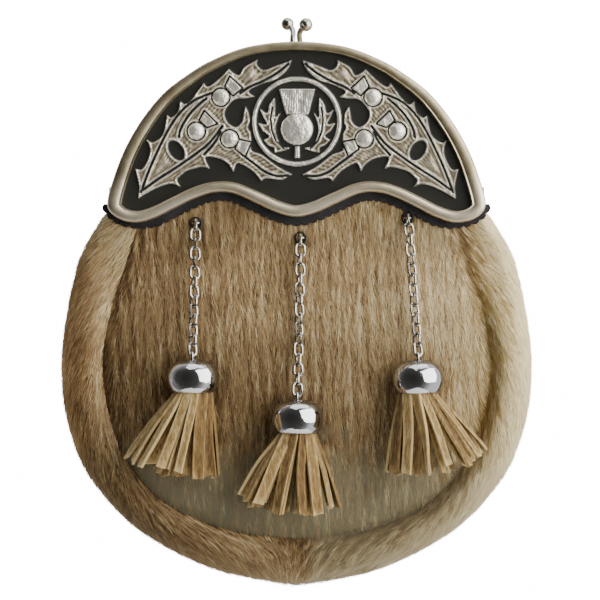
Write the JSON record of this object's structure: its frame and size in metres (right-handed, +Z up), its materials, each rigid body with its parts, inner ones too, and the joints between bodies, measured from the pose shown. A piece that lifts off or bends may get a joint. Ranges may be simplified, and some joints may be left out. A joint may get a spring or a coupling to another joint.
{
  "type": "sporran pouch",
  "caption": "Full-dress sporran: half-moon metal cantle with a raised thistle and leaves on a purse frame, puffed fur pouch, and suede tassels on chains.",
  "frame": {"origin": "centre of the back panel's rear face between the two belt loops, where the sporran strap holds it up", "axes": "+X to the right seen from the front, +Y back towards the wearer, +Z up; the cantle faces -Y"},
  "size_m": [0.1966, 0.0756, 0.2397],
  "materials": {
    "antique_silver_casting": "antiqued silver plate on a cast cantle, black enamel in its ground",
    "nickel_wire": "polished nickel-plated wire",
    "chrome_plate": "mirror-bright plate",
    "tan_fur_hide": "hide with its short brown and tan hair on",
    "black_leather": "satin black leather",
    "tan_suede": "matt tan suede"
  },
  "bodies": {
    "root": {"back_frame": "antique_silver_casting", "back_panel": "black_leather", "belt_loop_left": "black_leather", "belt_loop_right": "black_leather", "cantle": "antique_silver_casting", "cantle_mat": "black_leather", "chain_anchor_left": "nickel_wire", "chain_anchor_middle": "nickel_wire", "chain_anchor_right": "nickel_wire", "chain_left": "nickel_wire", "chain_middle": "nickel_wire", "chain_right": "nickel_wire", "clasp_ball_back": "nickel_wire", "clasp_ball_front": "nickel_wire", "front_panel": "tan_fur_hide", "gusset": "tan_fur_hide", "hinge_rivet_left": "nickel_wire", "hinge_rivet_right": "nickel_wire", "tassel_cap_left": "chrome_plate", "tassel_cap_middle": "chrome_plate", "tassel_cap_right": "chrome_plate", "tassel_skirt_left": "tan_suede", "tassel_skirt_middle": "tan_suede", "tassel_skirt_right": "tan_suede"}
  },
  "joints": []
}
